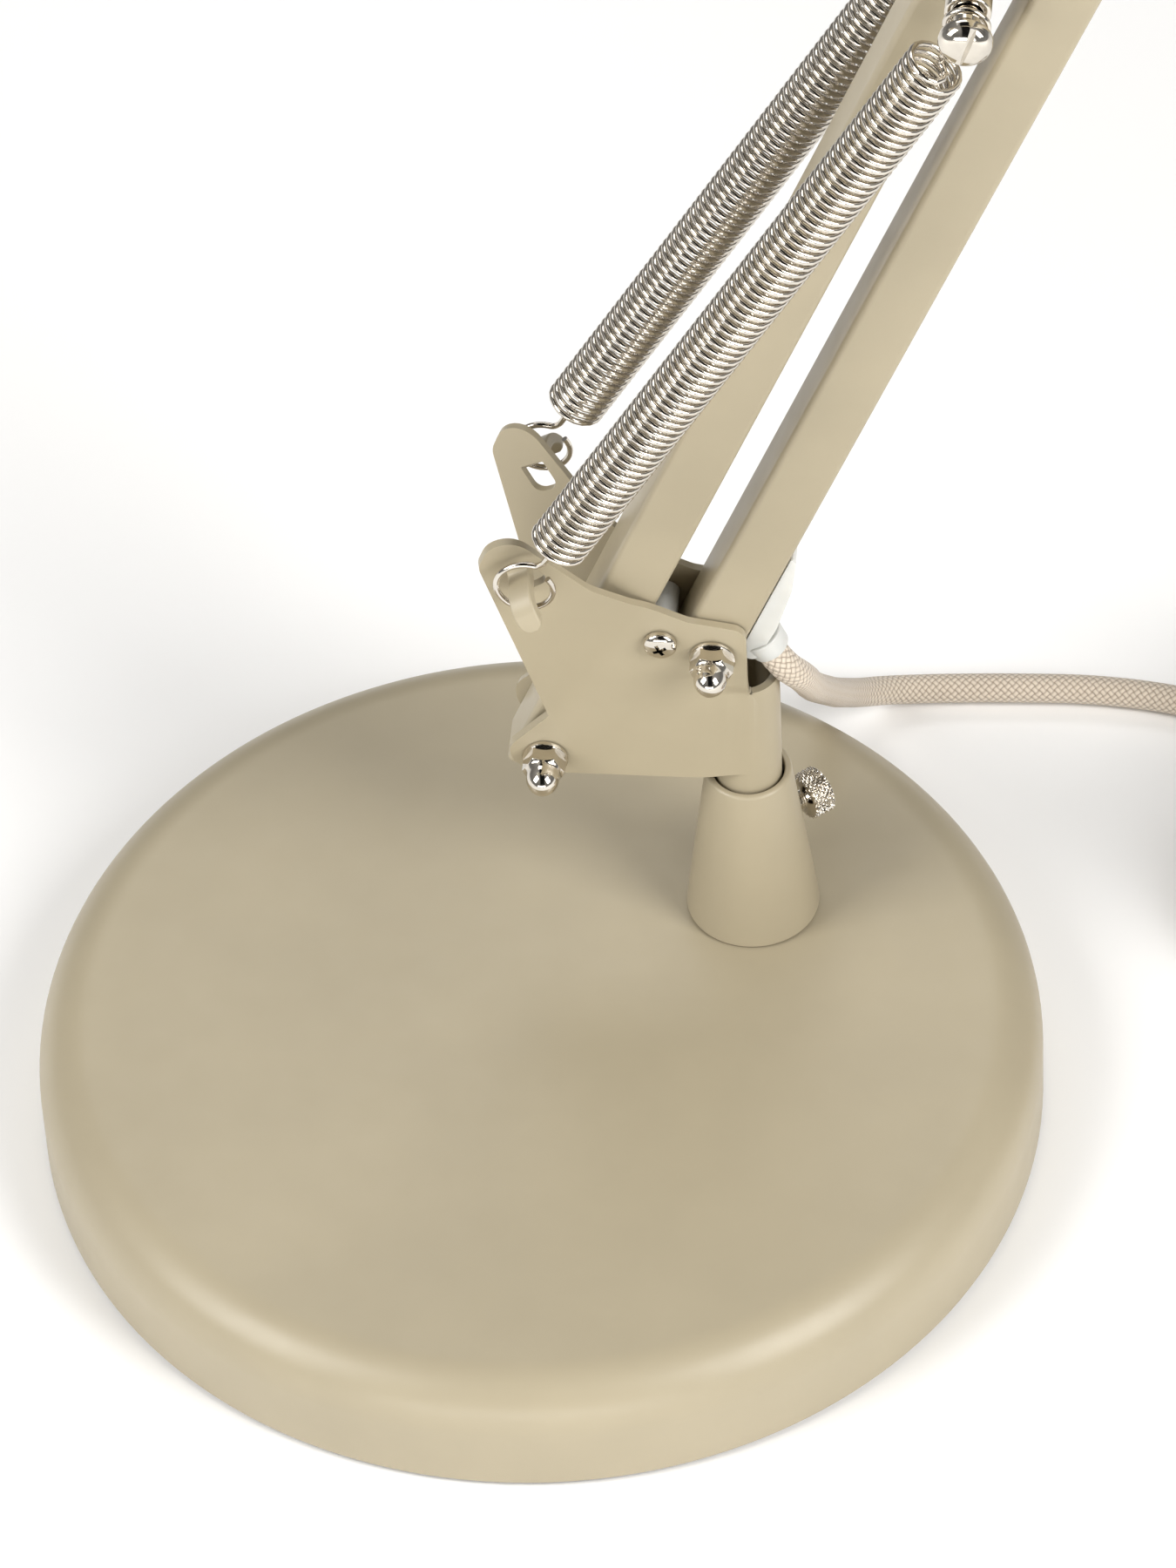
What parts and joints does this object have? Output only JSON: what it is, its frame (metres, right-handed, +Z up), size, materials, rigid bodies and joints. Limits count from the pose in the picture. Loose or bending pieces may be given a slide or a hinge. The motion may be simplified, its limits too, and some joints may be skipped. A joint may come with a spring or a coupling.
{
  "type": "architect desk lamp",
  "caption": "Free-standing spring-balanced desk lamp: weighted round foot, swivelling bracket, two parallelogram arm stages, tilting bell shade and braided cord.",
  "frame": {"origin": "centre of the foot pad's underside", "axes": "+Z up; the arms move in a plane parallel to XZ, and the lower arm leans towards +X"},
  "size_m": [0.4953, 0.2039, 0.6274],
  "materials": {
    "putty_paint": "satin enamel",
    "shade_paint": "satin enamel on spun aluminium, white inside",
    "bright_nickel": "nickel plated",
    "spring_wire": "nickel plated spring wire",
    "cast_weight": "raw casting",
    "foot_rubber": "matt",
    "white_nylon": "natural nylon, slightly translucent",
    "plug_plastic": "moulded",
    "black_plastic": "moulded phenolic",
    "frosted_glass": "frosted",
    "braided_cord": "braided textile over a rubber flex"
  },
  "bodies": {
    "base": {"base_cover": "putty_paint", "base_ballast": "cast_weight", "foot_pad": "foot_rubber", "post_socket": "putty_paint", "socket_bolt": "bright_nickel", "power_cord": "braided_cord", "cord_coil": "braided_cord", "plug": "plug_plastic"},
    "clamp": {"clamp_screw": "bright_nickel"},
    "bracket": {"pivot_bracket": "putty_paint", "stop_screw": "bright_nickel", "stop_sleeve": "white_nylon", "stop_nut": "bright_nickel", "link_bolt": "bright_nickel", "link_nut": "bright_nickel", "main_bolt": "bright_nickel", "main_nut": "bright_nickel"},
    "lower_arm": {"lower_arm_main": "putty_paint", "cord_grommet": "white_nylon"},
    "lower_link": {"lower_arm_link": "putty_paint", "lower_crossbar": "bright_nickel", "lower_crossbar_screw_front": "bright_nickel", "lower_crossbar_screw_rear": "bright_nickel"},
    "lower_springs": {"lower_spring_hook_front": "spring_wire", "lower_spring_hook_rear": "spring_wire", "lower_spring_coil_front": "spring_wire", "lower_spring_coil_rear": "spring_wire"},
    "lower_spring_ends": {"lower_spring_loop_front": "spring_wire", "lower_spring_loop_rear": "spring_wire"},
    "elbow": {"elbow_plate_front": "putty_paint", "elbow_plate_rear": "putty_paint", "elbow_pin_main": "bright_nickel", "elbow_pin_link": "bright_nickel", "upper_pin_main": "bright_nickel", "upper_pin_link": "bright_nickel", "elbow_crossbar": "bright_nickel", "elbow_cord": "braided_cord"},
    "upper_arm": {"upper_arm_main": "putty_paint"},
    "upper_link": {"upper_arm_link": "putty_paint", "upper_crossbar": "bright_nickel"},
    "upper_springs": {"upper_spring_hook_front": "spring_wire", "upper_spring_hook_rear": "spring_wire", "upper_spring_coil_front": "spring_wire", "upper_spring_coil_rear": "spring_wire"},
    "upper_spring_ends": {"upper_spring_loop_front": "spring_wire", "upper_spring_loop_rear": "spring_wire"},
    "head": {"head_plate_front": "putty_paint", "head_plate_rear": "putty_paint", "head_pin_main": "bright_nickel", "head_pin_link": "bright_nickel", "head_cord": "braided_cord"},
    "tilt_knob": {"tilt_knob": "black_plastic"},
    "shade": {"shade_stem": "putty_paint", "shade": "shade_paint", "lamp_holder": "black_plastic", "bulb": "frosted_glass"},
    "switch": {"switch_button": "black_plastic"}
  },
  "joints": [
    {"name": "clamp_turn", "type": "hinge", "parent": "base", "child": "clamp", "pos_m": [0.0385, 0.0291, 0.0445], "axis": [0.7547, 0.6561, 0], "range_deg": [-30, 720]},
    {"name": "swivel", "type": "hinge", "parent": "base", "child": "bracket", "pos_m": [0.0385, 0.0291, 0.06], "axis": [0, 0, 1], "range_deg": [-170, 170], "deforming": ["power_cord"]},
    {"name": "lower_arm_lean", "type": "hinge", "parent": "bracket", "child": "lower_arm", "pos_m": [0.0334, 0.0291, 0.0996], "axis": [0, -1, 0], "range_deg": [-1, 26]},
    {"name": "lower_link_lean", "type": "hinge", "parent": "bracket", "child": "lower_link", "pos_m": [0.0014, 0.0291, 0.0709], "axis": [0, -1, 0], "range_deg": [-1.1, 26.1]},
    {"name": "lower_springs_swing", "type": "hinge", "parent": "bracket", "child": "lower_springs", "pos_m": [0.0009, 0.0291, 0.1273], "axis": [0, -1, 0], "range_deg": [-1.37, 35.55]},
    {"name": "lower_springs_stretch", "type": "slide", "parent": "lower_springs", "child": "lower_spring_ends", "axis": [0.4971, 0, 0.8677], "range_m": [-0.00607, 0.00023], "deforming": ["lower_spring_coil_front", "lower_spring_coil_rear", "lower_spring_loop_front", "lower_spring_loop_rear"]},
    {"name": "elbow_level", "type": "hinge", "parent": "lower_arm", "child": "elbow", "pos_m": [0.1668, 0.0291, 0.43397], "axis": [0, -1, 0], "range_deg": [-26.1, 1.1]},
    {"name": "upper_arm_lift", "type": "hinge", "parent": "elbow", "child": "upper_arm", "pos_m": [0.1498, 0.0291, 0.46397], "axis": [0, -1, 0], "range_deg": [-28, 28]},
    {"name": "upper_link_lift", "type": "hinge", "parent": "elbow", "child": "upper_link", "pos_m": [0.15825, 0.0291, 0.4821], "axis": [0, -1, 0], "range_deg": [-28.1, 28.1]},
    {"name": "upper_springs_swing", "type": "hinge", "parent": "elbow", "child": "upper_springs", "pos_m": [0.16555, 0.0291, 0.50959], "axis": [0, -1, 0], "range_deg": [-28.68, 28.68]},
    {"name": "upper_springs_stretch", "type": "slide", "parent": "upper_springs", "child": "upper_spring_ends", "axis": [-0.9656, 0, 0.2601], "range_m": [-0.01362, 0.01362], "deforming": ["upper_spring_coil_front", "upper_spring_coil_rear", "upper_spring_loop_front", "upper_spring_loop_rear"]},
    {"name": "head_level", "type": "hinge", "parent": "upper_arm", "child": "head", "pos_m": [-0.14022, 0.0291, 0.59921], "axis": [0, -1, 0], "range_deg": [-28.1, 28.1]},
    {"name": "shade_tilt", "type": "hinge", "parent": "head", "child": "shade", "pos_m": [-0.16422, 0.0291, 0.59321], "axis": [0, -1, 0], "range_deg": [-55, 30], "deforming": ["head_cord"]},
    {"name": "tilt_knob_turn", "type": "hinge", "parent": "head", "child": "tilt_knob", "pos_m": [-0.16422, 0.0291, 0.59321], "axis": [0, -1, 0], "range_deg": [-180, 180]},
    {"name": "switch_press", "type": "slide", "parent": "shade", "child": "switch", "axis": [0.9781, 0, -0.2079], "range_m": [0, 0.0025], "stiffness_N_per_m": 400}
  ],
  "couplings": [
    {"joint": "lower_link_lean", "follows": "lower_arm_lean", "ratio": 1},
    {"joint": "elbow_level", "follows": "lower_arm_lean", "ratio": -1},
    {"joint": "lower_springs_swing", "follows": "lower_arm_lean", "ratio": 1.3403},
    {"joint": "lower_springs_stretch", "follows": "lower_arm_lean", "m_per_rad": -0.013105},
    {"joint": "upper_link_lift", "follows": "upper_arm_lift", "ratio": 1},
    {"joint": "head_level", "follows": "upper_arm_lift", "ratio": -1},
    {"joint": "upper_springs_swing", "follows": "upper_arm_lift", "ratio": 1.0041},
    {"joint": "upper_springs_stretch", "follows": "upper_arm_lift", "m_per_rad": 0.027316}
  ]
}
